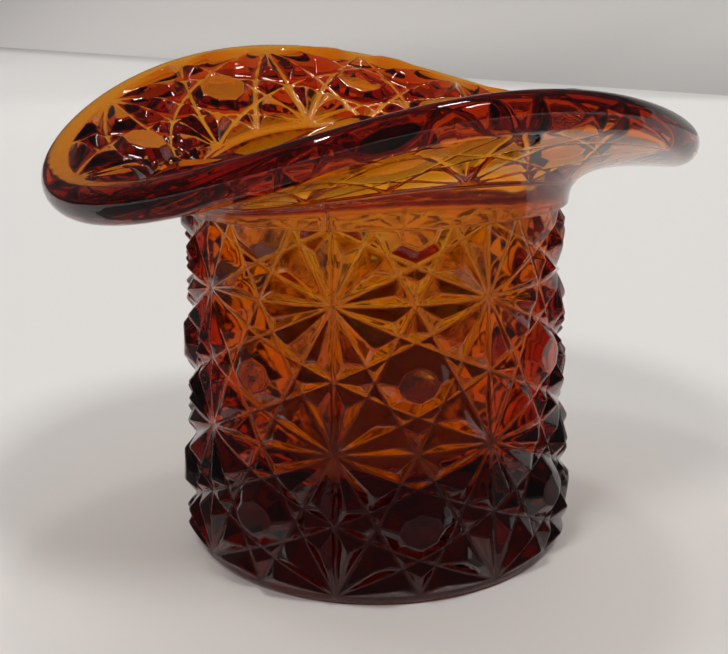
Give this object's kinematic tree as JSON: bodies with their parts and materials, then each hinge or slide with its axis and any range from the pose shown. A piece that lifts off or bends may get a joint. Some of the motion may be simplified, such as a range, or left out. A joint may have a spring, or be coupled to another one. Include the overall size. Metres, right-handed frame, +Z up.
{
  "type": "glass hat",
  "caption": "Amber pressed-glass hat that stands crown down as a small open holder, with a daisy-and-button relief on its crown and on its rolled brim.",
  "frame": {"origin": "centre of the flat face that the hat stands on, on the crown's axis", "axes": "+Z up along the crown's axis, towards the mouth; X through the two drooping ends of the brim; Y through its two turned-up sides"},
  "size_m": [0.0875, 0.0839, 0.0669],
  "materials": {
    "amber_glass": "glossy transparent amber, fire polished"
  },
  "bodies": {
    "root": {"base": "amber_glass", "crown_wall": "amber_glass", "brim": "amber_glass", "rim": "amber_glass"}
  },
  "joints": []
}
